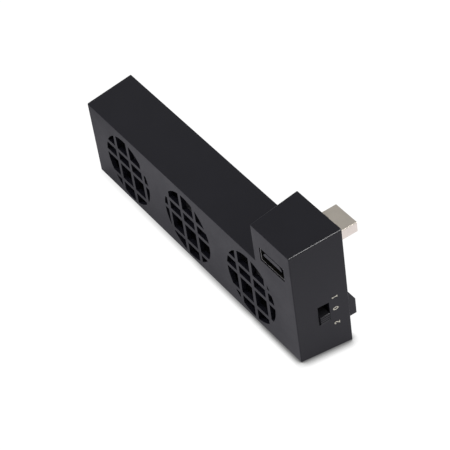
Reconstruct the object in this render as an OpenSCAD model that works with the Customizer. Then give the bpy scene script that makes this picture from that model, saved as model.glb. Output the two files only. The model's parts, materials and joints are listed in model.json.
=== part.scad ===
// A cooling fan that plugs into the back of a games console. A long bar holds three small
// square fans behind one moulded grille, and a taller block at its right end carries a USB plug
// behind, a USB socket in front and a slide switch in the end face. The housing is one tub with
// drafted walls, closed from behind by a flat cover let into its rim.
// X runs along the bar, Y from the grille to the console, Z up. Depths are measured back from
// the front face. All sizes are in millimetres.

/* [Housing] */
// Depth from the front face to the rear rim
body_d = 21; // [20.5:0.1:25]
// Space from the left end to the first fan frame
left_space = 11.3; // [10:0.1:20]
// Space from the last fan frame to the right end
right_space = 14.1; // [13.8:0.1:22]
// Room above the fan frames for the leads
lead_room = 1.55; // [1.4:0.05:4]
// Rise of the plug block above the fan bar
block_rise = 16.7; // [15:0.1:24]
// Length of the plug block along the bar
block_l = 25.3; // [24:0.1:30]
// Draft of the outer walls towards the front face, in degrees
draft = 4.25; // [2:0.05:5]
// Thickness of the side walls
wall = 1.5; // [1.2:0.05:1.7]
// Thickness of the front wall and of its grille bars
front_wall = 1.8; // [1.4:0.1:2.2]
// Rounding of the outer edges
edge_r = 0.5; // [0.2:0.05:0.8]
// Chamfer round the rear rim
rear_edge = 0.2; // [0.05:0.05:0.25]
// Thickness of the rear cover
cover_t = 1.8; // [1.4:0.1:2.4]
// Gap between the rear cover and the rim round it
cover_gap = 0.1; // [0.05:0.01:0.3]

/* [Grille] */
// Width of the front wall's lip over the edge of a fan frame
grille_lip = 0.4; // [0.3:0.05:1.5]
// Width of one grille bar
grille_bar = 1.7; // [1:0.1:2.4]
// Pitch of the upright bars
grille_pitch = 8.87; // [7:0.01:11]
// Distance from the left end to the first upright bar
grille_start = 19.9; // [18:0.1:22]
// Height of the upper cross bar above the fan axes
row_high = 6.7; // [5.5:0.1:8]
// Height of the middle cross bar above the fan axes
row_mid = 1; // [0:0.1:2.5]
// Depth of the lower cross bar below the fan axes
row_low = 8.4; // [5:0.1:10]

/* [Fans] */
// Side of one square fan frame
fan_size = 30; // [28:0.5:36]
// Thickness of a fan frame
fan_t = 10; // [9.6:0.1:10.4]
// Space between neighbouring fan frames
fan_spacing = 10.5; // [7:0.1:16]
// Gap between the front wall and the fan frames
fan_standoff = 2.6; // [2.2:0.1:3]
// Gap under a fan frame where the drafted floor comes closest
fan_gap = 0.1; // [0.05:0.05:1]
// Inset of the screw holes from the edges of a fan frame
fan_hole_inset = 3; // [2.8:0.1:3.4]
// Diameter of the screw holes in a fan frame
fan_hole_d = 3; // [2.8:0.1:3.2]
// Least wall of a fan frame round its duct
duct_wall = 0.7; // [0.5:0.05:1]
// Gap between a blade tip and the duct
tip_gap = 0.4; // [0.3:0.05:0.8]
// Diameter of the impeller hub
hub_d = 15; // [14.6:0.1:16]
// Number of blades on an impeller
blade_count = 7; // [5:1:9]
// Blade thickness, measured round the axis
blade_t = 1.3; // [0.9:0.1:1.6]
// Turn of a blade from its front edge to its rear edge, in degrees
blade_twist = 44; // [30:1:50]
// Diameter of a rotor shaft
shaft_d = 1.5; // [1.2:0.1:1.6]
// Gap between a shaft and its bearing sleeve, all round
shaft_gap = 0.02; // [0.01:0.005:0.05]
// Outer diameter of a bearing sleeve
sleeve_d = 3.2; // [3:0.1:3.4]
// Diameter of the tube round the bearing
tube_d = 5; // [4.6:0.1:5.2]

/* [USB] */
// Distance that the plug stands out of the rear rim
plug_out = 12; // [11:0.1:16]
// Width of the plug shell
plug_w = 12; // [11.9:0.05:12.1]
// Height of the plug shell
plug_h = 4.5; // [4.4:0.05:4.6]
// Distance of the plug's centre line to the left of the socket's
plug_shift = 2; // [0:0.1:2.2]
// Width of the socket shell
port_w = 13.7; // [13.4:0.1:14]
// Height of the socket shell
port_h = 5.7; // [5.6:0.05:6]
// Thickness of the metal of both shells
shell_t = 0.3; // [0.25:0.05:0.35]
// Gap round a shell where it passes through a wall
shell_gap = 0.2; // [0.1:0.05:0.4]
// Height of the USB board's upper face above the top of the bar
board_rise = 1.3; // [1:0.1:3]
// Thickness of both circuit boards
board_t = 1.2; // [1:0.1:1.6]

/* [Switch] */
// Depth of the switch's centre line behind the front face
switch_v = 10.9; // [9:0.1:12]
// Height of the middle switch position above the fan axes
switch_rise = 1.5; // [0:0.1:4]
// Distance from the right end of the rim to the switch board
switch_depth = 11.2; // [10.6:0.1:11.4]
// Height of the knob's finger piece
knob_h = 3.5; // [3:0.1:4.2]
// Depth of the knob's finger piece
knob_w = 3.9; // [3:0.1:4]
// Distance that the knob stands out of the end face
knob_proud = 0.6; // [0.2:0.1:1.2]
// Whole travel of the knob, over three places
travel = 4; // [3:0.5:4.5]
// Gap above and below the knob in its window at the ends of its travel
window_end_gap = 0.6; // [0.3:0.05:1]
// Gap on either side of the knob in its window
window_side_gap = 0.35; // [0.2:0.05:0.5]

/* [Locating peg] */
// Width of the peg along the bar
peg_w = 6; // [3:0.1:8]
// Distance that the peg stands out of the rear cover
peg_out = 3.9; // [2:0.1:6]
// Distance from the right end of the rim to the peg
peg_inset = 1.9; // [1.8:0.1:4]
// Height of the underside of the peg above the housing's lowest edge
peg_z = 9.8; // [8.8:0.1:14]
// Height of the peg at its tip
peg_tip_h = 6.9; // [4:0.1:9]
// Height of the peg where it leaves the cover
peg_root_h = 14.2; // [10:0.1:18]

/* [Fasteners] */
// Radius of a screw post behind the front wall
post_r = 2.5; // [2.2:0.1:2.7]
// Radius of the two screw posts above the USB socket
upper_post_r = 2; // [1.8:0.1:2.1]
// Radius of a case screw's thread
case_screw_r = 0.95; // [0.8:0.05:1.1]
// Radius of a case screw's countersunk head
case_head_r = 2; // [1.8:0.1:2.2]
// Length of a case screw
case_screw_l = 8; // [6:0.5:10]
// Radius of a fan screw's thread
fan_screw_r = 0.95; // [0.8:0.05:1.1]
// Radius of a fan screw's pan head
fan_head_r = 2; // [1.9:0.1:2.4]
// Gap between a screw's thread and its pilot hole
pilot_gap = 0.03; // [0.01:0.01:0.1]

/* [Leads] */
// Radius of one lead over its insulation
lead_r = 0.45; // [0.35:0.05:0.45]

/* [Hidden] */
$fn = 48;

fans = [0, 1, 2];
corner_fn = 24;
thin = 0.01;
over = 1;
flat_gap = 0.05;

// The housing's outline and the places worked out from it
fan_pitch = fan_size + fan_spacing;
body_l = left_space + 3 * fan_size + 2 * fan_spacing + right_space;
fan_v = front_wall + fan_standoff;
front_inset = inset(0);
floor_z = inset(fan_v) + wall / cos(draft);
axis_z = floor_z + fan_gap + fan_size / 2;
fan_top_z = axis_z + fan_size / 2;
bar_h = fan_top_z + lead_room + floor_z;
block_h = bar_h + block_rise;
left_x = -body_l / 2;
right_x = body_l / 2;
front_y = -(body_d + plug_out) / 2;
back_y = front_y + body_d;
cover_v = body_d - cover_t;
corner_r = edge_r + 0.1;
grille_r = fan_size / 2 - grille_lip;
bar_box = [left_x, right_x, 0, bar_h];
block_box = [right_x - block_l, right_x, 0, block_h];

// Places of one fan's pieces along its axis, from its front face
frame_floor = 1.2;
fan_board_t = 0.8;
fan_board_r = 7;
base_r = 8;
lead_s = frame_floor + lead_r + flat_gap;
hub_top = fan_t - 1.4;
hub_face_t = 0.9;
hub_open = 2.4;
hub_r = hub_d / 2;
boss_r = 1.9;
boss_l = 0.8;
tube_top = hub_top - 2;
sleeve_start = 1.7;
clip_s = 1.1;
clip_t = 0.25;
yoke_t = 0.28;
magnet_t = 0.9;
air_gap = 0.3;
yoke_r = hub_r - 0.6;
magnet_r = yoke_r - yoke_t - 0.02;
core_r = magnet_r - magnet_t - air_gap;
core_s = 3;
core_t = tube_top - core_s - 0.7;
coil_rise = 0.65;
neck_r = tube_d / 2 + 0.9;
arm_w = 1.6;
shoe_t = 0.8;
pole_gap_w = 1.4;
coil_w = 2.7;
coil_gap = 0.05;
frame_corner_r = 2.4;
duct_r = fan_size / 2 - duct_wall;
tip_r = duct_r - tip_gap;
fan_hole_off = fan_size / 2 - fan_hole_inset;
fan_boss_r = 2.2;
pin_l = 2;
pin_gap = 0.1;
fan_screw_bite = 2.8;

// Screw posts between the front wall and the rear cover
post_gap = 0.3;
post_low_z = front_inset + wall + post_gap + post_r;
post_high_z = block_h - front_inset - wall - post_gap - upper_post_r;
end_wall_x = right_x - front_inset - wall;
left_wall_x = left_x + front_inset + wall;
posts = [
    [(left_wall_x + left_x + left_space) / 2, axis_z, post_r],
    [fan_x(0) + fan_pitch / 2, axis_z, post_r],
    [fan_x(1) + fan_pitch / 2, axis_z, post_r],
    [(fan_x(2) + fan_size / 2 + end_wall_x) / 2, post_low_z, post_r],
    [right_x - block_l + front_inset + wall + post_gap + upper_post_r, post_high_z, upper_post_r],
    [end_wall_x - post_gap - upper_post_r, post_high_z, upper_post_r]
];
pilot_depth = case_screw_l + 0.5;
head_depth = 1.1;

// USB board, plug and socket
block_x = right_x - block_l / 2;
usb_w = block_l - 2 * (front_inset + wall + 0.4);
board_top = bar_h + board_rise;
board_low = board_top - board_t;
board_v1 = front_wall + 0.3;
board_v2 = cover_v - 0.2;
groove_t = 1;
groove_in = 1;
groove_out = 3;
lower_groove_v2 = board_v2 - 2;
port_v1 = 0.3;
port_v2 = 10;
port_z = board_top + 0.2 + port_h / 2;
plug_x = block_x - plug_shift;
plug_v1 = port_v2 + 1.5;
upper_groove_v2 = plug_v1 - 0.5;
plug_v2 = body_d + plug_out;
plug_z = board_top + 0.3 + plug_h / 2;
shell_r = 0.8;
plug_shell_r = 0.4;
contact_x = [-3.5, -1, 1, 3.5];
contact_w = 0.9;
contact_t = 0.2;
leg_t = 0.3;
tongue_w = 10.5;
tongue_t = 1.84;
tongue_back = 0.1;
tongue_cut = 1.2;
socket_back_t = 2;
insulator_gap = 0.3;
tab_l = 2;
tab_gap = 0.1;
port_tab_v = 4;
plug_tab_v = plug_v1 + 2.5;
detent = [2.5, 2];
detent_x = 3.2;
detent_v = plug_v2 - 6;
chip_x = block_x + 3;
transistor_x = block_x - 4;
chip_v = 6;

// Switch
switch_x = right_x - switch_depth;
switch_z = axis_z + switch_rise;
switch_board_h = 18;
can_h = 4;
can_w = knob_w + 1.4;
can_l = 11.2;
can_t = 0.3;
base_t = 1;
pad_t = 0.15;
pad_z = [-3, -1, 1, 3];
pin_r = 0.3;
carriage_l = 5.8;
knob_z = switch_z - travel / 2;
knob_x2 = right_x - inset(switch_v) + knob_proud;
rib_t = 1;
rib_l = 3;
rib_h = 4;
switch_lead_rise = 6.5;
switch_lead_pitch = 1.3;

// Lead routes
lane_pitch = 1.15;
lane_room = 1.1;
lane_v = [for (i = fans) cover_v - lane_room - lane_pitch * i];
lead_offset = 0.6;
lead_low_z = fan_top_z + lead_r + 0.1;
lead_high_z = lead_low_z + 1.05;
bend_r = 0.5;
red_end_x = block_x - usb_w / 2 + 4.2;
black_end_x = red_end_x - 1.4;
bead_r = 1.2;
bead_x = fan_x(2) + fan_size / 2 + 2.2;
bead_v = cover_v - bead_r - 1.4;
bead_z = switch_z + switch_board_h / 2 + bead_r + 0.8;

function inset(v) = (body_d - v) * tan(draft);
function fan_x(i) = left_x + left_space + fan_size / 2 + i * fan_pitch;
function unit(a) = a / norm(a);

// The bounds of a drafted box at one depth, shrunk by a wall
function bounds_at(b, v, shrink) =
    [b[0] + inset(v) + shrink, b[1] - inset(v) - shrink,
        b[2] + inset(v) + shrink, b[3] - inset(v) - shrink];

// A straight rod along Y between two depths
module rod(x, z, r, v1, v2) {
    translate([x, front_y + v2, z]) rotate([90, 0, 0]) cylinder(r = r, h = v2 - v1);
}

// A flat outline in X and Z, made solid between two depths
module plate(v1, v2) {
    translate([0, front_y + v2, 0]) rotate([90, 0, 0]) linear_extrude(v2 - v1) children();
}

// A box given by its lowest and highest corners in X, depth and Z
module block(low, high) {
    translate([low[0], front_y + low[1], low[2]]) cube(high - low);
}

module round_rect(w, h, r) {
    square([w - 2 * r, h], center = true);
    square([w, h - 2 * r], center = true);
    for (x = [-1, 1], y = [-1, 1]) translate([x * (w / 2 - r), y * (h / 2 - r)]) circle(r);
}

module corner_discs(b, v, centre, r) {
    for (x = [b[0] + centre, b[1] - centre], z = [b[2] + centre, b[3] - centre])
        rod(x, z, r, v, v + thin, $fn = corner_fn);
}

// A box whose sides lean in towards the front, with its front edges rounded
module drafted_shell(b) {
    hull() {
        corner_discs(bounds_at(b, body_d, 0), body_d - thin, corner_r, corner_r - rear_edge);
        corner_discs(bounds_at(b, body_d, 0), body_d - rear_edge - thin, corner_r, corner_r);
        for (a = [0:30:90])
            corner_discs(bounds_at(b, edge_r, 0), edge_r * (1 - cos(a)), corner_r,
                corner_r - edge_r * (1 - sin(a)));
    }
}

// The same box between two depths, shrunk by a wall and with plain front edges
module drafted_core(b, shrink, v1, v2) {
    hull() {
        corner_discs(bounds_at(b, v1, shrink), v1, corner_r, corner_r);
        corner_discs(bounds_at(b, v2, shrink), v2 - thin, corner_r, corner_r);
    }
}

module outer_body() {
    drafted_shell(bar_box);
    drafted_shell(block_box);
}

module cavity() {
    drafted_core(bar_box, wall, front_wall, body_d + over);
    drafted_core(block_box, wall, front_wall, body_d + over);
}

// The openings of the three grilles: each a round hole crossed by one grid of bars
module grille_openings(v1, v2) {
    uprights = floor((body_l - grille_start) / grille_pitch);
    for (i = fans) difference() {
        rod(fan_x(i), axis_z, grille_r, v1, v2);
        for (k = [0:uprights]) {
            x = left_x + grille_start + k * grille_pitch;
            if (abs(x - fan_x(i)) < grille_r + grille_bar)
                block([x - grille_bar / 2, v1 - over, 0], [x + grille_bar / 2, v2 + over, bar_h]);
        }
        for (rise = [row_high, row_mid, -row_low])
            block([fan_x(i) - fan_size, v1 - over, axis_z + rise - grille_bar / 2],
                [fan_x(i) + fan_size, v2 + over, axis_z + rise + grille_bar / 2]);
    }
}

// The bosses that hold one fan: screws go in two of them, and pins stand on the other two
module fan_bosses(i) {
    for (x = [-1, 1], z = [-1, 1]) {
        rod(fan_x(i) + x * fan_hole_off, axis_z + z * fan_hole_off, fan_boss_r,
            front_wall - thin, fan_v);
        if (x != z)
            rod(fan_x(i) + x * fan_hole_off, axis_z + z * fan_hole_off, fan_hole_d / 2 - pin_gap,
                fan_v - thin, fan_v + pin_l);
    }
}

// Grooves in the block's side walls that take the edges of the USB board
module usb_grooves() {
    for (side = [-1, 1]) {
        edge = block_x + side * usb_w / 2;
        x1 = min(edge - side * groove_in, edge + side * groove_out);
        x2 = max(edge - side * groove_in, edge + side * groove_out);
        block([x1, front_wall - thin, board_low - flat_gap - groove_t],
            [x2, lower_groove_v2, board_low - flat_gap]);
        block([x1, front_wall - thin, board_top + flat_gap],
            [x2, upper_groove_v2, board_top + flat_gap + groove_t]);
    }
}

// Two pairs of ribs on the front wall that take the front edge of the switch board
module switch_ribs() {
    for (z = [switch_z - switch_board_h / 2, switch_z + switch_board_h / 2 - rib_h]) {
        block([switch_x + flat_gap, front_wall - thin, z],
            [switch_x + flat_gap + rib_t, front_wall + rib_l, z + rib_h]);
        block([switch_x - board_t - flat_gap - rib_t, front_wall - thin, z],
            [switch_x - board_t - flat_gap, front_wall + rib_l, z + rib_h]);
    }
}

module inner_features() {
    for (p = posts) rod(p[0], p[1], p[2], front_wall - thin, cover_v);
    for (i = fans) fan_bosses(i);
    usb_grooves();
    switch_ribs();
}

module front_housing() {
    color("#232326") difference() {
        union() {
            difference() {
                outer_body();
                cavity();
            }
            intersection() {
                outer_body();
                inner_features();
            }
        }
        grille_openings(-over, front_wall + 0.3);
        plate(-over, front_wall + over) translate([block_x, port_z])
            square([port_w + 2 * shell_gap, port_h + 2 * shell_gap], center = true);
        switch_window();
        for (p = posts) rod(p[0], p[1], case_screw_r + pilot_gap, cover_v - pilot_depth, cover_v + over);
        for (i = fans, side = [-1, 1])
            rod(fan_x(i) + side * fan_hole_off, axis_z + side * fan_hole_off, fan_screw_r + pilot_gap,
                fan_v - fan_screw_bite - 0.3, fan_v + over);
    }
}

module switch_window() {
    w = knob_w + 2 * window_side_gap;
    h = knob_h + travel + 2 * window_end_gap;
    block([end_wall_x - 0.5, switch_v - w / 2, switch_z - h / 2],
        [right_x + over, switch_v + w / 2, switch_z + h / 2]);
}

module countersink(x, z, gap) {
    translate([x, back_y, z]) rotate([90, 0, 0])
        cylinder(r1 = case_head_r + gap, r2 = case_screw_r + gap, h = head_depth);
}

module rear_cover() {
    color("#232326") {
        difference() {
            union() {
                drafted_core(bar_box, wall + cover_gap, cover_v, body_d);
                drafted_core(block_box, wall + cover_gap, cover_v, body_d);
                locating_peg();
            }
            grille_openings(cover_v - over, body_d + over);
            plate(cover_v - over, body_d + over) translate([plug_x, plug_z])
                round_rect(plug_w + 2 * shell_gap, plug_h + 2 * shell_gap, plug_shell_r + shell_gap);
            for (p = posts) {
                rod(p[0], p[1], case_screw_r + 0.2, cover_v - over, body_d + over);
                countersink(p[0], p[1], 0.1);
            }
        }
    }
}

// The peg has a long sloping top that guides it into its slot
module locating_peg() {
    root = thin;
    translate([right_x - peg_inset - peg_w, back_y - root, peg_z]) rotate([90, 0, 90]) linear_extrude(peg_w)
        polygon([[0, 0], [peg_out + root, 0], [peg_out + root, peg_tip_h], [0, peg_root_h]]);
}

module cross_recess(r, depth) {
    for (a = [0, 90]) rotate([0, 0, a]) translate([-r, -0.25, -depth]) cube([2 * r, 0.5, depth + over]);
}

module case_screws() {
    color("#8c8c90") for (p = posts) translate([p[0], back_y, p[1]]) rotate([-90, 0, 0]) difference() {
        union() {
            translate([0, 0, -head_depth])
                cylinder(r1 = case_screw_r, r2 = case_head_r, h = head_depth - thin);
            translate([0, 0, -case_screw_l]) cylinder(r = case_screw_r, h = case_screw_l - head_depth + thin);
        }
        cross_recess(1.2, 0.6);
    }
}

module fan_screws() {
    head_h = 1.3;
    color("#8c8c90") for (i = fans, side = [-1, 1])
        translate([fan_x(i) + side * fan_hole_off, front_y + fan_v + fan_t, axis_z + side * fan_hole_off])
            rotate([-90, 0, 0]) difference() {
                union() {
                    cylinder(r = fan_head_r, h = head_h - 0.4);
                    translate([0, 0, head_h - 0.4])
                        cylinder(r1 = fan_head_r, r2 = fan_head_r - 0.4, h = 0.4);
                    translate([0, 0, -fan_t - fan_screw_bite])
                        cylinder(r = fan_screw_r, h = fan_t + fan_screw_bite + thin);
                }
                translate([0, 0, head_h]) cross_recess(1.2, 0.6);
            }
}

// Moves a fan's piece from its own axis, with Z pointing back, to its place in the bar
module at_fan(i) {
    translate([fan_x(i), front_y + fan_v, axis_z]) rotate([-90, 0, 0]) children();
}

module fan_frame() {
    half = fan_size / 2;
    lead_notch_w = 2 * (lead_offset + lead_r) + 0.3;
    color("#2a2a2c") difference() {
        union() {
            difference() {
                linear_extrude(fan_t) round_rect(fan_size, fan_size, frame_corner_r);
                translate([0, 0, -over]) cylinder(r = duct_r, h = fan_t + 2 * over);
            }
            cylinder(r = base_r, h = frame_floor);
            cylinder(r = tube_d / 2, h = tube_top);
            for (a = [30, 150]) rotate([0, 0, a]) translate([0, -0.9, 0])
                cube([duct_r + 0.3, 1.8, frame_floor]);
            translate([-lead_notch_w / 2 - 0.5, -duct_r - 0.3, 0])
                cube([lead_notch_w + 1, duct_r + 0.3, frame_floor]);
        }
        translate([0, 0, -over]) cylinder(r = sleeve_d / 2 + 0.02, h = fan_t);
        for (x = [-1, 1], y = [-1, 1]) translate([x * fan_hole_off, y * fan_hole_off, -over])
            cylinder(d = fan_hole_d, h = fan_t + 2 * over);
        translate([-lead_notch_w / 2, -half - over, frame_floor])
            cube([lead_notch_w, duct_wall + over + 0.6, 2 * lead_r + 0.3]);
    }
}

module impeller() {
    blade_s = lead_s + lead_r + 0.55;
    blade_h = fan_t - 0.7 - blade_s;
    color("#303033") union() {
        difference() {
            union() {
                translate([0, 0, hub_open]) cylinder(r = hub_r, h = hub_top - hub_open - 0.5);
                translate([0, 0, hub_top - 0.5]) cylinder(r1 = hub_r, r2 = hub_r - 0.5, h = 0.5);
            }
            difference() {
                translate([0, 0, hub_open - over])
                    cylinder(r = yoke_r + 0.02, h = hub_top - hub_face_t - hub_open + over);
                translate([0, 0, hub_top - hub_face_t - boss_l]) cylinder(r = boss_r, h = boss_l + over);
            }
            translate([0, 0, hub_open - over])
                cylinder(r = shaft_d / 2 + 0.01, h = hub_top - hub_open + over - 0.3);
        }
        for (k = [0:blade_count - 1]) rotate([0, 0, k * 360 / blade_count]) translate([0, 0, blade_s])
            linear_extrude(blade_h, twist = blade_twist, slices = 7, $fn = 10) blade_section();
    }
}

// One slice through a blade: it sweeps back a little from the hub to its rounded tip
module blade_section() {
    sweep = 14;
    steps = 3;
    root = hub_r - 0.35;
    span = tip_r - root;
    polygon(concat(
        [for (j = [0:steps]) blade_point(root + span * j / steps, sweep * j / steps, -blade_t / 2)],
        [for (j = [steps:-1:0]) blade_point(root + span * j / steps, sweep * j / steps, blade_t / 2)]
    ));
}

function blade_point(r, a, off) = let (b = a + off / r * 180 / PI) [r * cos(b), r * sin(b)];

module rotor_yoke() {
    top = hub_top - hub_face_t;
    low = hub_open + 0.3;
    color("#9a9a9c") difference() {
        translate([0, 0, low]) cylinder(r = yoke_r, h = top - low);
        translate([0, 0, low - over]) cylinder(r = yoke_r - yoke_t, h = top - low - yoke_t + over);
        translate([0, 0, low - over]) cylinder(r = boss_r + 0.03, h = top + 2 * over);
    }
}

module rotor_magnet() {
    low = hub_open + 0.4;
    high = hub_top - hub_face_t - yoke_t - 0.1;
    color("#3a3634") difference() {
        translate([0, 0, low]) cylinder(r = magnet_r, h = high - low);
        translate([0, 0, low - over]) cylinder(r = magnet_r - magnet_t, h = high - low + 2 * over);
    }
}

module rotor_shaft() {
    color("#c8c8cc") difference() {
        translate([0, 0, clip_s - 0.2]) cylinder(d = shaft_d, h = hub_top - 0.35 - clip_s + 0.2);
        translate([0, 0, clip_s]) difference() {
            cylinder(d = shaft_d + over, h = clip_t);
            translate([0, 0, -over]) cylinder(d = shaft_d - 0.5, h = clip_t + 2 * over);
        }
    }
}

module shaft_clip() {
    color("#d8d8d0") translate([0, 0, clip_s + 0.01]) difference() {
        cylinder(d = sleeve_d - 0.6, h = clip_t - 0.02);
        translate([0, 0, -over]) cylinder(d = shaft_d - 0.44, h = clip_t + 2 * over);
    }
}

module bearing_sleeve() {
    color("#b08040") difference() {
        translate([0, 0, sleeve_start]) cylinder(d = sleeve_d, h = tube_top - sleeve_start - 0.1);
        translate([0, 0, sleeve_start - over]) cylinder(d = shaft_d + 2 * shaft_gap, h = tube_top + 2 * over);
    }
}

module bearing_cap() {
    color("#2a2a2c") translate([0, 0, 0.1]) cylinder(d = sleeve_d, h = 0.5);
}

module stator_core() {
    color("#8a8a8e") translate([0, 0, core_s]) linear_extrude(core_t) difference() {
        union() {
            circle(neck_r);
            for (a = [0:90:270]) rotate(a) translate([0, -arm_w / 2]) square([core_r - 0.2, arm_w]);
            difference() {
                circle(core_r);
                circle(core_r - shoe_t);
                for (a = [45:90:315]) rotate(a) translate([0, -pole_gap_w / 2])
                    square([core_r + over, pole_gap_w]);
            }
        }
        circle(tube_d / 2 + 0.02);
    }
}

// One wound coil round each arm of the core
module stator_coils() {
    inner = neck_r + coil_gap;
    hole_w = arm_w + 2 * coil_gap;
    coil_t = core_t + 2 * coil_rise;
    color("#b4622c") for (a = [0:90:270]) rotate([0, 0, a]) difference() {
        intersection() {
            translate([inner, -coil_w / 2, core_s - coil_rise]) cube([core_r - inner, coil_w, coil_t]);
            translate([0, 0, core_s - coil_rise]) cylinder(r = core_r - shoe_t - coil_gap, h = coil_t);
        }
        translate([inner - over, -hole_w / 2, core_s - coil_gap])
            cube([core_r, hole_w, core_t + 2 * coil_gap]);
    }
}

module fan_board() {
    color("#2f5f3a") difference() {
        translate([0, 0, frame_floor]) cylinder(r = fan_board_r, h = fan_board_t);
        translate([0, 0, frame_floor - over]) cylinder(d = tube_d + 0.1, h = fan_board_t + 2 * over);
    }
}

module usb_board() {
    color("#2f5f3a") difference() {
        block([block_x - usb_w / 2, board_v1, board_low], [block_x + usb_w / 2, board_v2, board_top]);
        shell_tabs(block_x, port_w, port_tab_v, port_z, tab_gap);
        shell_tabs(plug_x, plug_w, plug_tab_v, plug_z, tab_gap);
    }
}

// The two legs that fix a metal shell in its board
module shell_tabs(x, w, v, z, gap) {
    for (side = [-1, 1]) {
        outside = x + side * w / 2;
        inside = outside - side * shell_t;
        block([min(inside, outside) - gap, v - gap, board_low - 0.5 - gap],
            [max(inside, outside) + gap, v + tab_l + gap, z]);
    }
}

module usb_plug_shell() {
    color("#b9b4aa") {
        difference() {
            plate(plug_v1, plug_v2) translate([plug_x, plug_z]) difference() {
                round_rect(plug_w, plug_h, plug_shell_r);
                square([plug_w - 2 * shell_t, plug_h - 2 * shell_t], center = true);
            }
            for (side = [-1, 1])
                block([plug_x + side * detent_x - detent[0] / 2, detent_v - detent[1], board_top],
                    [plug_x + side * detent_x + detent[0] / 2, detent_v, plug_z + plug_h]);
        }
        shell_tabs(plug_x, plug_w, plug_tab_v, plug_z, 0);
    }
}

module usb_plug_insulator() {
    low = plug_z - plug_h / 2 + shell_t + flat_gap;
    high = plug_z + plug_h / 2 - shell_t - flat_gap;
    w = plug_w - 2 * shell_t - 2 * insulator_gap;
    color("#e8e6df") difference() {
        union() {
            block([plug_x - w / 2, plug_v1 + 0.2, low],
                [plug_x + w / 2, plug_v2 - insulator_gap, low + tongue_t]);
            block([plug_x - w / 2, plug_v1 + 0.2, low], [plug_x + w / 2, plug_v1 + 3, high]);
        }
        for (x = contact_x)
            block([plug_x + x - contact_w / 2 - flat_gap, plug_v1, low + tongue_t],
                [plug_x + x + contact_w / 2 + flat_gap, plug_v1 + 4, low + tongue_t + contact_t + flat_gap]);
    }
}

module usb_plug_contacts() {
    low = plug_z - plug_h / 2 + shell_t + flat_gap + tongue_t;
    leg_v = plug_v1 - 0.5;
    color("#d8b45a") for (x = contact_x) {
        tip = abs(x) > 2 ? 1.2 : 2.2;
        block([plug_x + x - contact_w / 2, leg_v, low],
            [plug_x + x + contact_w / 2, plug_v2 - tip, low + contact_t]);
        block([plug_x + x - contact_w / 2, leg_v, board_top],
            [plug_x + x + contact_w / 2, leg_v + leg_t, low + contact_t]);
    }
}

module usb_socket_shell() {
    color("#b9b4aa") {
        plate(port_v1, port_v2) translate([block_x, port_z]) difference() {
            round_rect(port_w, port_h, shell_r);
            round_rect(port_w - 2 * shell_t, port_h - 2 * shell_t, shell_r - shell_t);
        }
        shell_tabs(block_x, port_w, port_tab_v, port_z, 0);
    }
}

// The front of the socket's tongue, with its two upper corners cut off
module tongue_outline() {
    w = tongue_w / 2;
    polygon([[-w, 0], [w, 0], [w, tongue_t - tongue_cut], [w - tongue_cut, tongue_t],
        [tongue_cut - w, tongue_t], [-w, tongue_t - tongue_cut]]);
}

module usb_socket_insulator() {
    back_v = port_v2 - socket_back_t;
    w = port_w - 2 * shell_t - 2 * flat_gap;
    h = port_h - 2 * shell_t - 2 * flat_gap;
    color("#202022") difference() {
        union() {
            plate(port_v1 + tongue_back, back_v + 0.5) translate([block_x, port_z]) tongue_outline();
            plate(back_v, port_v2 - 0.2) translate([block_x, port_z]) round_rect(w, h, shell_r - shell_t);
        }
        for (x = contact_x)
            block([block_x + x - contact_w / 2 - flat_gap, back_v - over, port_z - contact_t - flat_gap],
                [block_x + x + contact_w / 2 + flat_gap, port_v2 + over, port_z]);
    }
}

module usb_socket_contacts() {
    leg_v = port_v2 + 0.3;
    color("#d8b45a") for (x = contact_x) {
        block([block_x + x - contact_w / 2, port_v1 + tongue_back + 0.9, port_z - contact_t],
            [block_x + x + contact_w / 2, leg_v + leg_t, port_z]);
        block([block_x + x - contact_w / 2, leg_v, board_top],
            [block_x + x + contact_w / 2, leg_v + leg_t, port_z]);
    }
}

// The chip hangs under the USB board on four legs a side
module controller_chip() {
    x = chip_x;
    v = chip_v;
    body = [4.9, 3.9, 1.4];
    color("#1a1a1a") {
        block([x - body[0] / 2, v - body[1] / 2, board_low - 0.1 - body[2]],
            [x + body[0] / 2, v + body[1] / 2, board_low - 0.1]);
        for (k = [-1.5:1:1.5], side = [-1, 1]) {
            root = v + side * (body[1] / 2 - 0.1);
            tip = v + side * (body[1] / 2 + 1);
            block([x + k * 1.27 - 0.2, min(root, tip), board_low - 0.35],
                [x + k * 1.27 + 0.2, max(root, tip), board_low]);
        }
    }
}

module motor_transistor() {
    x = transistor_x;
    v = chip_v;
    color("#1a1a1a") {
        block([x - 1.45, v - 0.65, board_low - 1.1], [x + 1.45, v + 0.65, board_low - 0.05]);
        for (leg = [[-0.95, -1], [0.95, -1], [0, 1]])
            block([x + leg[0] - 0.2, v + (leg[1] > 0 ? 0.5 : -1.2), board_low - 0.25],
                [x + leg[0] + 0.2, v + (leg[1] > 0 ? 1.2 : -0.5), board_low]);
    }
}

// A bead on two thin legs, beside the last inlet
module temperature_sensor() {
    leg_z = bead_z + bead_r / 2;
    color("#2a3a5a") {
        translate([bead_x, front_y + bead_v, bead_z]) sphere(r = bead_r);
        for (side = [-0.5, 0.5]) translate([bead_x + side, front_y + bead_v, leg_z])
            cylinder(r = 0.2, h = board_low - leg_z);
    }
}

module switch_board() {
    color("#2f5f3a") difference() {
        block([switch_x - board_t, front_wall + 0.2, switch_z - switch_board_h / 2],
            [switch_x, board_v2, switch_z + switch_board_h / 2]);
        switch_pins(pin_r + flat_gap, board_t + over);
    }
}

// The pins of the switch, from its pads back through the board
module switch_pins(r, reach) {
    for (z = pad_z) translate([switch_x - reach, front_y + switch_v, switch_z + z]) rotate([0, 90, 0])
        cylinder(r = r, h = reach + base_t + thin);
}

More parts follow.
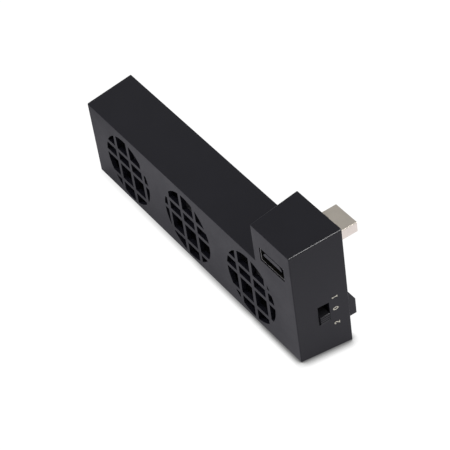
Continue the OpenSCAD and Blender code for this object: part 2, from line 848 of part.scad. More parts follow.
module switch_shell() {
    slot_w = knob_w + 0.2;
    slot_l = knob_h + travel + 0.3;
    color("#c0c0c4") difference() {
        block([switch_x, switch_v - can_w / 2, switch_z - can_l / 2],
            [switch_x + can_h, switch_v + can_w / 2, switch_z + can_l / 2]);
        block([switch_x - over, switch_v - can_w / 2 + can_t, switch_z - can_l / 2 + can_t],
            [switch_x + can_h - can_t, switch_v + can_w / 2 - can_t, switch_z + can_l / 2 - can_t]);
        block([switch_x, switch_v - slot_w / 2, switch_z - slot_l / 2],
            [switch_x + can_h + over, switch_v + slot_w / 2, switch_z + slot_l / 2]);
    }
}

module switch_base() {
    y = can_w / 2 - can_t - flat_gap;
    z = can_l / 2 - can_t - flat_gap;
    color("#8a5a30") difference() {
        block([switch_x, switch_v - y, switch_z - z], [switch_x + base_t, switch_v + y, switch_z + z]);
        switch_pins(pin_r + flat_gap, over);
    }
}

module switch_contacts() {
    color("#d8b45a") {
        switch_pins(pin_r, board_t + 0.6);
        for (z = pad_z) block([switch_x + base_t, switch_v - 1, switch_z + z - 0.5],
            [switch_x + base_t + pad_t, switch_v + 1, switch_z + z + 0.5]);
    }
}

module switch_knob() {
    y = can_w / 2 - can_t - 0.1;
    low = switch_x + base_t + 0.5;
    high = switch_x + can_h - can_t - 0.08;
    color("#262629") difference() {
        union() {
            block([low, switch_v - y, knob_z - carriage_l / 2],
                [high, switch_v + y, knob_z + carriage_l / 2]);
            block([high - thin, switch_v - knob_w / 2, knob_z - knob_h / 2],
                [knob_x2, switch_v + knob_w / 2, knob_z + knob_h / 2]);
        }
        for (k = [-1:1]) block([knob_x2 - 0.2, switch_v - knob_w, knob_z + k * 0.9 - 0.15],
            [knob_x2 + over, switch_v + knob_w, knob_z + k * 0.9 + 0.15]);
    }
}

// A sprung bridge under the knob that joins two neighbouring pads
module switch_wiper() {
    top = switch_x + base_t + 0.5;
    color("#c89040") {
        block([top - 0.15, switch_v - 1.2, knob_z - 2], [top, switch_v + 1.2, knob_z + 2]);
        for (z = [-1, 1]) block([top - 0.3, switch_v - 0.9, knob_z + z - 0.3],
            [top - 0.15 + thin, switch_v + 0.9, knob_z + z + 0.3]);
    }
}

// The points of a quarter bend at b, on the way from a to c
function bend(a, b, c, r) = let (u = unit(a - b), w = unit(c - b), m = b + (u + w) * r)
    [for (t = [0:30:90]) m - w * r * cos(t) - u * r * sin(t)];

function route(p, r) = [
    p[0],
    for (i = [1:len(p) - 2]) each bend(p[i - 1], p[i], p[i + 1], r),
    p[len(p) - 1]
];

function direction(p, i) = unit(p[min(i + 1, len(p) - 1)] - p[max(i - 1, 0)]);

function across(p, i, n) = let (t = direction(p, i)) unit(n - t * (n * t));

// One side vector for each point, carried along so that the tube doesn't twist
function sides(p, i, n) = i == len(p) ? [] : let (m = across(p, i, n)) concat([m], sides(p, i + 1, m));

// A round tube along a route of square bends
module lead(points) {
    ring = 8;
    p = route(points, bend_r);
    n = sides(p, 0, [0.6, 0.5, 0.62]);
    last = len(p) - 1;
    rings = [for (i = [0:last], j = [0:ring - 1])
        let (t = direction(p, i), a = j * 360 / ring)
        p[i] + lead_r * (cos(a) * n[i] + sin(a) * cross(t, n[i]))];
    walls = [for (i = [0:last - 1], j = [0:ring - 1]) let (k = (j + 1) % ring)
        each [[i * ring + j, (i + 1) * ring + j, (i + 1) * ring + k],
            [i * ring + j, (i + 1) * ring + k, i * ring + k]]];
    start = [for (j = [1:ring - 2]) [0, j, j + 1]];
    end = [for (j = [1:ring - 2]) [last * ring, last * ring + j + 1, last * ring + j]];
    polyhedron(rings, concat(walls, start, end));
}

module fan_lead(i, offset, lane_z, end_x) {
    x = fan_x(i) + offset;
    y1 = front_y + fan_v + lead_s;
    y2 = front_y + lane_v[i];
    rise = lane_z > lead_low_z ? [[x, y2, lead_low_z], [x, y2, lane_z]] : [[x, y2, lane_z]];
    lead(concat([[x, y1, axis_z + fan_board_r + 0.05], [x, y1, lead_low_z]], rise,
        [[end_x, y2, lane_z], [end_x, y2, board_low]]));
}

module red_leads() {
    color("#a02020") for (i = fans) fan_lead(i, lead_offset, lead_low_z, red_end_x);
}

module black_leads() {
    color("#202020") for (i = fans) fan_lead(i, -lead_offset, lead_high_z, black_end_x);
}

module switch_leads() {
    x1 = switch_x - board_t;
    x2 = x1 - lead_r - 0.5;
    z1 = switch_z + switch_lead_rise;
    color("#c8c8c0") for (k = [-1:1]) {
        y = front_y + switch_v + switch_lead_pitch * k;
        lead([[x1, y, z1], [x2, y, z1], [x2, y, board_low]]);
    }
}

front_housing();
rear_cover();
case_screws();
fan_screws();
at_fan(0) fan_frame();  // fan_frame_1
at_fan(1) fan_frame();  // fan_frame_2
at_fan(2) fan_frame();  // fan_frame_3
at_fan(0) impeller();  // impeller_1
at_fan(1) impeller();  // impeller_2
at_fan(2) impeller();  // impeller_3
at_fan(0) rotor_yoke();  // rotor_yoke_1
at_fan(1) rotor_yoke();  // rotor_yoke_2
at_fan(2) rotor_yoke();  // rotor_yoke_3
at_fan(0) rotor_magnet();  // rotor_magnet_1
at_fan(1) rotor_magnet();  // rotor_magnet_2
at_fan(2) rotor_magnet();  // rotor_magnet_3
at_fan(0) rotor_shaft();  // rotor_shaft_1
at_fan(1) rotor_shaft();  // rotor_shaft_2
at_fan(2) rotor_shaft();  // rotor_shaft_3
at_fan(0) shaft_clip();  // shaft_clip_1
at_fan(1) shaft_clip();  // shaft_clip_2
at_fan(2) shaft_clip();  // shaft_clip_3
at_fan(0) bearing_sleeve();  // bearing_sleeve_1
at_fan(1) bearing_sleeve();  // bearing_sleeve_2
at_fan(2) bearing_sleeve();  // bearing_sleeve_3
at_fan(0) bearing_cap();  // bearing_cap_1
at_fan(1) bearing_cap();  // bearing_cap_2
at_fan(2) bearing_cap();  // bearing_cap_3
at_fan(0) stator_core();  // stator_core_1
at_fan(1) stator_core();  // stator_core_2
at_fan(2) stator_core();  // stator_core_3
at_fan(0) stator_coils();  // stator_coils_1
at_fan(1) stator_coils();  // stator_coils_2
at_fan(2) stator_coils();  // stator_coils_3
at_fan(0) fan_board();  // fan_board_1
at_fan(1) fan_board();  // fan_board_2
at_fan(2) fan_board();  // fan_board_3
usb_board();
usb_plug_shell();
usb_plug_insulator();
usb_plug_contacts();
usb_socket_shell();
usb_socket_insulator();
usb_socket_contacts();
controller_chip();
motor_transistor();
temperature_sensor();
switch_board();
switch_shell();
switch_base();
switch_contacts();
switch_knob();
switch_wiper();
red_leads();
black_leads();
switch_leads();
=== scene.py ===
# %% [markdown]
# # A cooling fan that plugs into the back of a games console
#
# The object is a long black bar with three round grilles, and a taller block at its right end.
# The block carries a USB plug behind, a USB socket in front and a slide switch in its end face.
# All the rigid shapes come ready made from the CAD model, so this lesson is about the rest: a
# camera that matches the photograph, the light of a plain white studio, a finish for every
# material, and the printed numerals, which are too thin for the CAD model.

# %% Load the fixed frame
import json
import math

import bmesh
import bpy
from mathutils import Euler, Matrix, Vector


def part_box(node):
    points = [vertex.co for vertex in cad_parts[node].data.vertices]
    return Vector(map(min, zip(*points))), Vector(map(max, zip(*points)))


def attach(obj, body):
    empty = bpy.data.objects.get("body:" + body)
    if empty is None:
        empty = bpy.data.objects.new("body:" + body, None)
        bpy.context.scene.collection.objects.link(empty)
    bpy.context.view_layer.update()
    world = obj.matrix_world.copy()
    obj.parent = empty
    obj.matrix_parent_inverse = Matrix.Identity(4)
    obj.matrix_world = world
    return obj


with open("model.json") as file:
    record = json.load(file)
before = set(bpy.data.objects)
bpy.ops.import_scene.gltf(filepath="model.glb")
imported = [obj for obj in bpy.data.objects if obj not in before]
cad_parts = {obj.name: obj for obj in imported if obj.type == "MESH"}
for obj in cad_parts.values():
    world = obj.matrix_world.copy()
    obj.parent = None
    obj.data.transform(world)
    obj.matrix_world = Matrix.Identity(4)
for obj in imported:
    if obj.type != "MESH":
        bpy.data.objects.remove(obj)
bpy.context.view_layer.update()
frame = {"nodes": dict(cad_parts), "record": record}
nodes = frame["nodes"]
MM = 0.001
MM_PER_METRE = 1000.0
print("pieces from the CAD model:", len(nodes))

# %% [markdown]
# ## Places shared by the steps below
#
# Every size of the object is written once, in millimetres, and turned into metres with `MM`. The
# places of the CAD pieces could be typed in as well, but typed numbers go stale when the CAD
# model changes. They are read from the frame instead, so that what is added follows the pieces.
# The walls of the housing are drafted, which means that they lean inwards towards the front, so
# that the moulding leaves its mould. The floor and the numerals need the angle of this draft.

# %% Read the places that the later steps sit on
DRAFT = math.radians(4.25)
body_low, body_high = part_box("front_housing")
back_y = body_high.y
right_x = body_high.x
knob_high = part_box("switch_knob")[1]
socket_lip_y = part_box("usb_socket_shell")[0].y
print("right end", round(right_x / MM, 2), "mm, rear rim", round(back_y / MM, 2), "mm")

# %% [markdown]
# ## Camera
#
# A photograph fixes where its camera stood. A camera can be pushed about until the picture looks
# right, but that takes long and never quite fits. Here the corners of the housing were matched to
# their places in the photograph first, and its straight edges after that, which gave the lens,
# the place of the camera and the way that it points. The lens is long, so the bar hardly narrows
# with distance.

# %% Place the camera
CAMERA_AT = Vector((444.940, -240.354, 485.483)) * MM
VIEW_AZIMUTH = math.radians(61.811)
VIEW_DROP = math.radians(43.266)
VIEW_ROLL = math.radians(-9.090)
SENSOR_MM = 36.0
LENS_MM = 150.68
NEAREST_SEEN = 10 * MM

camera_data = bpy.data.cameras.new("camera")
camera_data.sensor_width = SENSOR_MM
camera_data.lens = LENS_MM
camera_data.clip_start = NEAREST_SEEN
camera = bpy.data.objects.new("camera", camera_data)
bpy.context.collection.objects.link(camera)
level_turn = Euler((math.pi / 2 - VIEW_DROP, 0, VIEW_AZIMUTH)).to_matrix()
roll_turn = Matrix.Rotation(VIEW_ROLL, 3, "Z")
camera.matrix_world = Matrix.Translation(CAMERA_AT) @ (level_turn @ roll_turn).to_4x4()
bpy.context.scene.camera = camera
print("camera distance", round(CAMERA_AT.length, 3), "m")

# %% [markdown]
# ## Short words for node materials
#
# A material in Blender is a tree of nodes. Written out in full, each node takes several lines:
# one makes it, one sets each socket and one makes each link. The helpers below do all that in one
# call, so that the recipes further down can be read as recipes. `calculated` does one sum,
# `graded` turns one range of numbers into another, `mixed` goes from one colour to another, and
# `noise` gives soft random blotches that are fixed to the object.


# %% Helpers that add nodes
def new_material(name):
    material = bpy.data.materials.new(name)
    material.use_nodes = True
    material.node_tree.nodes.clear()
    return material


def add(owner, kind, sockets=None, **settings):
    """Adds a node to a material or a world, and sets or links the sockets given."""
    node = owner.node_tree.nodes.new(kind)
    for name, value in settings.items():
        setattr(node, name, value)
    for socket, source in (sockets or {}).items():
        if hasattr(source, "is_output"):
            owner.node_tree.links.new(source, node.inputs[socket])
        else:
            node.inputs[socket].default_value = source
    return node


def calculated(owner, operation, first, second):
    return add(owner, "ShaderNodeMath", {0: first, 1: second}, operation=operation).outputs[0]


def graded(owner, value, start, end, first, last):
    """Goes from first to last while value goes from start to end."""
    sockets = {"Value": value, "From Min": start, "From Max": end, "To Min": first, "To Max": last}
    return add(owner, "ShaderNodeMapRange", sockets).outputs["Result"]


def noise(owner, place, scale, detail, roughness=0.5):
    sockets = {"Vector": place, "Scale": scale, "Detail": detail, "Roughness": roughness}
    return add(owner, "ShaderNodeTexNoise", sockets).outputs["Fac"]


print("helpers ready, materials so far:", len(bpy.data.materials))

# %% [markdown]
# A Mix node has one set of sockets for numbers and another for colours, all with the same names,
# so the ones for colours are told apart by their numbers. Every material of the object ends in
# the same two nodes, a surface and an output.

# %% Helpers for colours and surfaces
MIX_FACTOR = 0
MIX_FIRST_COLOUR = 6
MIX_SECOND_COLOUR = 7
MIX_COLOUR_OUT = 2


def mixed(owner, factor, first, second):
    sockets = {MIX_FACTOR: factor, MIX_FIRST_COLOUR: first, MIX_SECOND_COLOUR: second}
    return add(owner, "ShaderNodeMix", sockets, data_type="RGBA").outputs[MIX_COLOUR_OUT]


def give_surface(material, sockets):
    surface = add(material, "ShaderNodeBsdfPrincipled", sockets)
    add(material, "ShaderNodeOutputMaterial", {"Surface": surface.outputs[0]})
    return material


print("colours are mixed in sockets", MIX_FIRST_COLOUR, "and", MIX_SECOND_COLOUR)

# %% [markdown]
# ## The floor
#
# The object lies on a plain white table. The floor is one large square. The lower wall of the
# housing is drafted, so an object that stands on it leans by the draft angle. The floor is tilted
# by the same angle instead, about the lower edge of the rear rim, which leaves the object where
# the CAD frame has it.

# %% Lay the floor
FLOOR_HALF = 4.0
CORNERS = ((-1, -1), (1, -1), (1, 1), (-1, 1))

floor_mesh = bpy.data.meshes.new("floor")
floor_corners = [(x * FLOOR_HALF, y * FLOOR_HALF, 0) for x, y in CORNERS]
floor_mesh.from_pydata(floor_corners, [], [(0, 1, 2, 3)])
floor = bpy.data.objects.new("floor", floor_mesh)
bpy.context.collection.objects.link(floor)
floor.rotation_euler = (-DRAFT, 0, 0)
floor.location = (0, back_y, 0)
print("floor", 2 * FLOOR_HALF, "m wide, tilted by", round(math.degrees(DRAFT), 2), "degrees")

# %% [markdown]
# ## The white of the floor and the shadow on it
#
# A floor turns white if enough light falls on it, but then the light bleaches the object too.
# Here the floor glows instead, and only for the camera, at a strength of one, which is white. An
# ambient occlusion node measures how much of the sky the object hides from a point of the floor,
# and the glow is taken away there. That draws the shadow of the photograph: dark at the object's
# foot, gone after three or four millimetres, and weaker towards the left end of the bar.

# %% Draw the glow and the contact shadow that the camera sees
SHADOW_REACH = 2.95 * MM
SHADOW_REACH_END = 4.3 * MM
SHADOW_DEPTH = 0.84
SHADOW_FROM_X = -80 * MM
SHADOW_FULL_X = 50 * MM
SHADOW_FIRST = 0.05
SHADOW_SAMPLES = 16
HALF_HIDDEN = 0.5
HARDLY_HIDDEN = 0.95

finish = new_material("studio_floor")
ray = add(finish, "ShaderNodeLightPath").outputs
table_place = add(finish, "ShaderNodeTexCoord").outputs["Object"]
table_x = add(finish, "ShaderNodeSeparateXYZ", {0: table_place}).outputs["X"]
end_x = body_high.x
reach = graded(finish, table_x, end_x - SHADOW_REACH, end_x, SHADOW_REACH, SHADOW_REACH_END)
sky_seen = add(
    finish, "ShaderNodeAmbientOcclusion", {"Distance": reach}, samples=SHADOW_SAMPLES
).outputs["AO"]
darkness = graded(finish, sky_seen, HALF_HIDDEN, HARDLY_HIDDEN, SHADOW_DEPTH, 0.0)
shadow_side = graded(finish, table_x, SHADOW_FROM_X, SHADOW_FULL_X, SHADOW_FIRST, 1.0)
shadow = calculated(finish, "MULTIPLY", darkness, shadow_side)
lit_floor = calculated(finish, "SUBTRACT", 1.0, shadow)
camera_glow = calculated(finish, "MULTIPLY", ray["Is Camera Ray"], lit_floor)
print("shadow reaches", round(SHADOW_REACH / MM, 2), "to", round(SHADOW_REACH_END / MM, 2), "mm")

# %% [markdown]
# ## The floor in reflections
#
# Plastic and metal show the table round them, so the floor glows in reflections as well. In the
# photograph the front of the bar is grey where it mirrors the bright table, and darker towards
# the left end, where the table is less bright. A plain even glow misses that, so a colour ramp
# holds how bright the table is at eight places along it.

# %% Set how bright the table is along its length
# Each pair is a place along X in millimetres, and how brightly the table shows there.
REFLECTED_ALONG_X = [
    (-105, 0.35),
    (-52, 0.73),
    (-5, 0.71),
    (42, 0.67),
    (60, 0.74),
    (72, 0.94),
    (88, 0.98),
    (110, 0.85),
]
REFLECTED_TINT = (1.0, 0.98, 1.06)

first_x = REFLECTED_ALONG_X[0][0]
last_x = REFLECTED_ALONG_X[-1][0]
ramp_place = graded(finish, table_x, first_x * MM, last_x * MM, 0.0, 1.0)
along_table = add(finish, "ShaderNodeValToRGB", {"Fac": ramp_place})
stops = along_table.color_ramp.elements
while len(stops) < len(REFLECTED_ALONG_X):
    stops.new(1.0)
for stop, (x, level) in zip(stops, REFLECTED_ALONG_X):
    stop.position = (x - first_x) / (last_x - first_x)
    stop.color = tuple(level * t for t in REFLECTED_TINT) + (1,)
print("stops of brightness along the table:", len(stops))

# %% [markdown]
# The object shades the table round its foot, and that shade shows in the reflections too. A real
# shadow would need a real light on the floor, which the glow has replaced. A second ambient
# occlusion node, with a wider reach than the first, darkens the glow there instead, and more so
# at the left end.

# %% Draw the glow that reflections see
REFLECTED_REACH = 22.0 * MM
REFLECTED_SAMPLES = 8
AT_LEFT_FOOT = 0.35
AT_RIGHT_FOOT = 0.75

wide_sky_seen = add(
    finish,
    "ShaderNodeAmbientOcclusion",
    {"Distance": REFLECTED_REACH},
    samples=REFLECTED_SAMPLES,
).outputs["AO"]
foot_level = graded(finish, table_x, body_low.x, body_high.x, AT_LEFT_FOOT, AT_RIGHT_FOOT)
foot_shade = graded(finish, wide_sky_seen, HALF_HIDDEN, 1.0, foot_level, 1.0)
reflected = calculated(finish, "MAXIMUM", ray["Is Glossy Ray"], ray["Is Transmission Ray"])
mirrored_glow = calculated(finish, "MULTIPLY", reflected, foot_shade)
print("shade in reflections reaches", round(REFLECTED_REACH / MM, 2), "mm")

# %% [markdown]
# The two glows are added to a matt surface. For the light that only bounces off it, the matt
# surface is a pale grey, which throws light back up at the object, as a table does. For the
# camera and for reflections it is nearly black, so that it adds hardly anything to the glow.

# %% Put the floor's material together
FLOOR_TONE = (0.80, 0.80, 0.80, 1)
FLOOR_TONE_SEEN = (0.06, 0.06, 0.06, 1)
WHITE = (1, 1, 1, 1)

glow_tone = mixed(finish, reflected, WHITE, along_table.outputs["Color"])
glow_level = calculated(finish, "ADD", mirrored_glow, camera_glow)
glow = add(finish, "ShaderNodeEmission", {"Color": glow_tone, "Strength": glow_level})
seen = calculated(finish, "MAXIMUM", ray["Is Camera Ray"], reflected)
floor_tone = mixed(finish, seen, FLOOR_TONE, FLOOR_TONE_SEEN)
matt = add(finish, "ShaderNodeBsdfDiffuse", {"Color": floor_tone})
both = add(finish, "ShaderNodeAddShader", {0: glow.outputs[0], 1: matt.outputs[0]})
add(finish, "ShaderNodeOutputMaterial", {"Surface": both.outputs[0]})
floor_mesh.materials.append(finish)
print("nodes in the floor's material:", len(finish.node_tree.nodes))

# %% [markdown]
# ## The world
#
# The world is the room round the table. It could hold a picture of a studio, but a plain even
# tone lights black plastic just as well and brings no stray shapes into its gloss. It lights the
# object from all sides at a moderate level. The camera sees it as white, so that a view from low
# down has no grey horizon.

# %% Make the world
WORLD_LEVEL = 0.44

world = bpy.data.worlds.new("studio")
bpy.context.scene.world = world
world.use_nodes = True
sky = world.node_tree.nodes["Background"]
sky.inputs["Color"].default_value = WHITE
for_camera = add(world, "ShaderNodeLightPath").outputs["Is Camera Ray"]
sky_level = graded(world, for_camera, 0.0, 1.0, WORLD_LEVEL, 1.0)
world.node_tree.links.new(sky_level, sky.inputs["Strength"])
bpy.context.scene.view_settings.view_transform = "Standard"
print("world level", WORLD_LEVEL)

# %% [markdown]
# ## Lamps
#
# A small bright lamp draws hard shadows and hard spots of light. The lamps of a photographer's
# studio shine through a large cloth instead, which makes both of them soft. An area lamp does the
# same, because it shines from the whole of its face. The helper makes one and turns it to the
# object.

# %% A lamp that faces the object
LAMP_AIM = Vector((0.02, 0, 0.02))


def softbox(name, place, size, power):
    """A square lamp that faces the middle of the object, with its place and size in metres."""
    data = bpy.data.lights.new(name, "AREA")
    data.shape = "SQUARE"
    data.size = size
    data.energy = power
    lamp = bpy.data.objects.new(name, data)
    bpy.context.collection.objects.link(lamp)
    lamp.location = place
    aim = LAMP_AIM - Vector(place)
    lamp.rotation_euler = aim.to_track_quat("-Z", "Y").to_euler()
    return lamp


print("lamps face", tuple(round(c / MM) for c in LAMP_AIM), "mm")

# %% [markdown]
# Two large soft lamps, one above and one before the object, lift the light to a plain level, at
# which a colour renders about as it is written. The mirror image of such a lamp would show as a
# pale patch on the plastic, so both are kept out of reflections.
#
# The photograph has a thin line of light along the edges at the right, from a lamp behind them.
# The lamp for it shows in reflections only, and light linking keeps it to the pieces that have
# such an edge. It would burn out the metal of the plug, so the plug has a weaker one to itself.

# %% Hang the lamps
EDGE_LIGHT_AT = (0.80, 0.21, 0.76)
EDGE_LIGHT_SIZE = 0.26
EDGE_LIGHT_POWER = 18.0
PLUG_EDGE_POWER = 3.0
FRONT_LIGHT_AT = (-0.70, -0.95, 0.55)
FRONT_LIGHT_SIZE = 0.80
FRONT_LIGHT_POWER = 7.0
SKY_LIGHT_AT = (0.0, 0.0, 2.0)
SKY_LIGHT_SIZE = 3.0
SKY_LIGHT_POWER = 24.0


def edge_lamp(name, power, lit_pieces):
    """A lamp behind the right end that shows only in the reflections of the pieces named."""
    lamp = softbox(name, EDGE_LIGHT_AT, EDGE_LIGHT_SIZE, power)
    lamp.visible_diffuse = False
    lamp.light_linking.receiver_collection = bpy.data.collections.new("lit_by_" + name)
    for piece in lit_pieces:
        lamp.light_linking.receiver_collection.objects.link(nodes[piece])


edge_lamp("edge_light", EDGE_LIGHT_POWER, ["front_housing", "rear_cover", "switch_knob"])
edge_lamp("plug_edge_light", PLUG_EDGE_POWER, ["usb_plug_shell"])
front_light = softbox("front_light", FRONT_LIGHT_AT, FRONT_LIGHT_SIZE, FRONT_LIGHT_POWER)
front_light.visible_glossy = False
sky_light = softbox("sky_light", SKY_LIGHT_AT, SKY_LIGHT_SIZE, SKY_LIGHT_POWER)
sky_light.visible_glossy = False

# %% [markdown]
# ## Moulded plastic
#
# The housing is moulded in one go from black plastic against a fine eroded mould face. Close to,
# such a face is covered with tiny rounded grains of about a fifth of a millimetre. From further
# off the grain only spreads the reflections, so a face looks brighter the flatter it is seen.
# A picture of such a face could be laid over the object, but it would need a map of every side.
# A noise pattern is fixed to the object in millimetres and needs none. One noise is the grain in
# the bump input, a second one gathers the grains into specks, and a third, much larger, varies
# the gloss and the tone a little, as handling and the flow of the melt do.

# %% A recipe for moulded plastic
CLOUDS_PER_METRE = 90.0
CLOUD_DETAIL = 4.0
CLOUD_ROUGHNESS = 0.6
GRAIN_DETAIL = 2.0
GRAINS_IN_A_SPECK = 4
GRAIN_STRENGTH = 0.35
GLOSSIER = 0.04
DULLER = 0.05
NOISE_LOW = 0.3
NOISE_HIGH = 0.7


def moulded_plastic(
    name, colour, roughness, grain_mm=0.2, grain_depth=0.02, specular=0.35, cloud=0.10
):
    """Moulded plastic, with grain_mm and grain_depth in millimetres."""
    material = new_material(name)
    place = add(material, "ShaderNodeTexCoord").outputs["Object"]
    clouds = noise(material, place, CLOUDS_PER_METRE, CLOUD_DETAIL, CLOUD_ROUGHNESS)
    specks_per_metre = MM_PER_METRE / (grain_mm * GRAINS_IN_A_SPECK)
    specks = noise(material, place, specks_per_metre, GRAIN_DETAIL)
    grain = noise(material, place, MM_PER_METRE / grain_mm, GRAIN_DETAIL)
    height = calculated(material, "ADD", grain, specks)
    relief = {"Height": height, "Strength": GRAIN_STRENGTH, "Distance": grain_depth * MM}
    low = tuple(c * (1 - cloud) for c in colour) + (1,)
    high = tuple(c * (1 + cloud) for c in colour) + (1,)
    glossy = roughness - GLOSSIER
    dull = roughness + DULLER
    sockets = {
        "Base Color": mixed(material, clouds, low, high),
        "Roughness": graded(material, clouds, NOISE_LOW, NOISE_HIGH, glossy, dull),
        "Normal": add(material, "ShaderNodeBump", relief).outputs["Normal"],
        "Specular IOR Level": specular,
    }
    return give_surface(material, sockets)


print("clouds are about", round(MM_PER_METRE / CLOUDS_PER_METRE), "mm wide")

# %% [markdown]
# A material could be made for each plastic by hand, but they differ only in tone, gloss and
# grain, so the one recipe makes them all from a table. The fans mirror a little more than the
# housing and have a finer grain. The plug's tongue is white, the base of the switch is brown
# laminate, and the magnets are bonded powder, which is dull.

# %% Mix the plastics
PLASTICS = {
    "housing_plastic": dict(colour=(0.0082, 0.0081, 0.0120), roughness=0.36, specular=0.245),
    "fan_plastic": dict(
        colour=(0.008, 0.008, 0.009), roughness=0.38, grain_mm=0.12, grain_depth=0.01
    ),
    "impeller_plastic": dict(
        colour=(0.010, 0.010, 0.011), roughness=0.34, grain_mm=0.12, grain_depth=0.008
    ),
    "knob_plastic": dict(
        colour=(0.0180, 0.0177, 0.0215),
        roughness=0.36,
        grain_mm=0.15,
        grain_depth=0.015,
        specular=0.245,
    ),
    "chip_black": dict(
        colour=(0.012, 0.012, 0.013), roughness=0.55, grain_mm=0.08, grain_depth=0.01
    ),
    "socket_insulator": dict(
        colour=(0.014, 0.0135, 0.018),
        roughness=0.36,
        grain_mm=0.15,
        grain_depth=0.01,
        specular=0.30,
    ),
    "plug_insulator": dict(
        colour=(0.62, 0.61, 0.57), roughness=0.32, grain_mm=0.15, grain_depth=0.01, cloud=0.03
    ),
    "magnet_ferrite": dict(
        colour=(0.045, 0.040, 0.038), roughness=0.60, grain_mm=0.10, grain_depth=0.02
    ),
    "clip_nylon": dict(
        colour=(0.66, 0.65, 0.58), roughness=0.40, grain_mm=0.15, grain_depth=0.01, cloud=0.04
    ),
    "switch_phenolic": dict(
        colour=(0.20, 0.10, 0.045), roughness=0.50, grain_mm=0.30, grain_depth=0.02, cloud=0.20
    ),
    "sensor_epoxy": dict(
        colour=(0.018, 0.035, 0.11), roughness=0.22, grain_mm=0.50, grain_depth=0.03
    ),
}
finishes = {name: moulded_plastic(name, **values) for name, values in PLASTICS.items()}
print("plastics:", len(PLASTICS))

# %% [markdown]
# ## The bright lip of the socket and the painted shade inside it
#
# The plug and the socket have shells of thin steel sheet with nickel plating. The socket's shell
# shows as one thin bright line round a dark opening, because only its cut front edge catches the
# light. A second material could be laid on the edge, but the faces of the CAD piece all share one
# slot. The one material is painted instead: just behind the edge its tone turns dark, as painted
# shade for the shade inside the socket. This is done on the front half of the object only, so that
# the same metal stays bright on the plug.

# %% The bright lip of the socket and the shade painted inside it
# Painted shade: behind the lip, the metal's colour turns dark over this depth to stand for the
# shade inside the socket.
SHADE_OVER = 0.25 * MM
LIP_TONE = (0.66, 0.65, 0.62, 1)
PAINTED_SHADE_TONE = (0.17, 0.175, 0.16, 1)


def painted_shade_behind(material, place, tone, lip_y):
    """The tone given, but with the lip's tone at the socket's lip and painted shade behind it."""
    along_y = add(material, "ShaderNodeSeparateXYZ", {0: place}).outputs["Y"]
    painted_shade_mask = graded(material, along_y, lip_y, lip_y + SHADE_OVER, 0.0, 1.0)
    lip_and_painted_shade = mixed(material, painted_shade_mask, LIP_TONE, PAINTED_SHADE_TONE)
    in_front_half = calculated(material, "LESS_THAN", along_y, 0.0)
    return mixed(material, in_front_half, tone, lip_and_painted_shade)


print("the socket's lip is at", round(socket_lip_y / MM, 2), "mm")

# %% [markdown]
# ## Plated and drawn metal
#
# Sheet is rolled and wire is drawn, so both carry faint lines along one direction, and plating
# leaves the sheet slightly warm in tone. Lines could be made with a wave pattern, but waves
# repeat, and the eye finds that at once. A noise pattern that is stretched along one axis never
# repeats. A second noise varies the tone a little, as handling does.

# %% A recipe for sheet metal
ACROSS = 14
LINE_DETAIL = 3.0
LINE_ROUGHNESS = 0.6
LINE_STRENGTH = 0.4
MARKS_PER_METRE = 260.0
DARKER = 0.88
LIGHTER = 1.06
GLOSS_SPREAD = 0.08


def sheet_metal(name, colour, roughness, stretch, line_mm=0.15, depth=0.004, painted_shade_from_y=None):
    """Metal with fine lines, which are line_mm wide and depth deep, in millimetres."""
    material = new_material(name)
    place = add(material, "ShaderNodeTexCoord").outputs["Object"]
    stretched = [s * MM_PER_METRE / (line_mm * ACROSS) for s in stretch]
    drawn = add(material, "ShaderNodeMapping", {"Vector": place, "Scale": stretched}).outputs[0]
    lines = noise(material, drawn, 1.0, LINE_DETAIL, LINE_ROUGHNESS)
    relief = {"Height": lines, "Strength": LINE_STRENGTH, "Distance": depth * MM}
    marks = noise(material, place, MARKS_PER_METRE, LINE_DETAIL)
    low = tuple(c * DARKER for c in colour) + (1,)
    high = tuple(min(c * LIGHTER, 1) for c in colour) + (1,)
    tone = mixed(material, marks, low, high)
    # Where a place is given, shade inside the socket is painted into the colour behind it.
    if painted_shade_from_y is not None:
        tone = painted_shade_behind(material, place, tone, painted_shade_from_y)
    glossy = roughness - GLOSS_SPREAD / 2
    dull = roughness + GLOSS_SPREAD / 2
    sockets = {
        "Base Color": tone,
        "Metallic": 1.0,
        "Roughness": graded(material, lines, NOISE_LOW, NOISE_HIGH, glossy, dull),
        "Normal": add(material, "ShaderNodeBump", relief).outputs["Normal"],
    }
    return give_surface(material, sockets)


print("lines are", ACROSS, "times as long as they are wide")

# %% [markdown]
# The same recipe, with other tones, gives the tinned can of the switch, the screws, the rotor
# yokes and the gold contacts. The stator core is a stack of thin sheets and the coils are wound
# wire, so their lines lie across the axis of the fan instead of along it.

# %% Mix the metals
LIP_DEPTH = 0.05 * MM
ALONG_Y = (ACROSS, 1, ACROSS)
ALONG_Z = (ACROSS, ACROSS, 1)

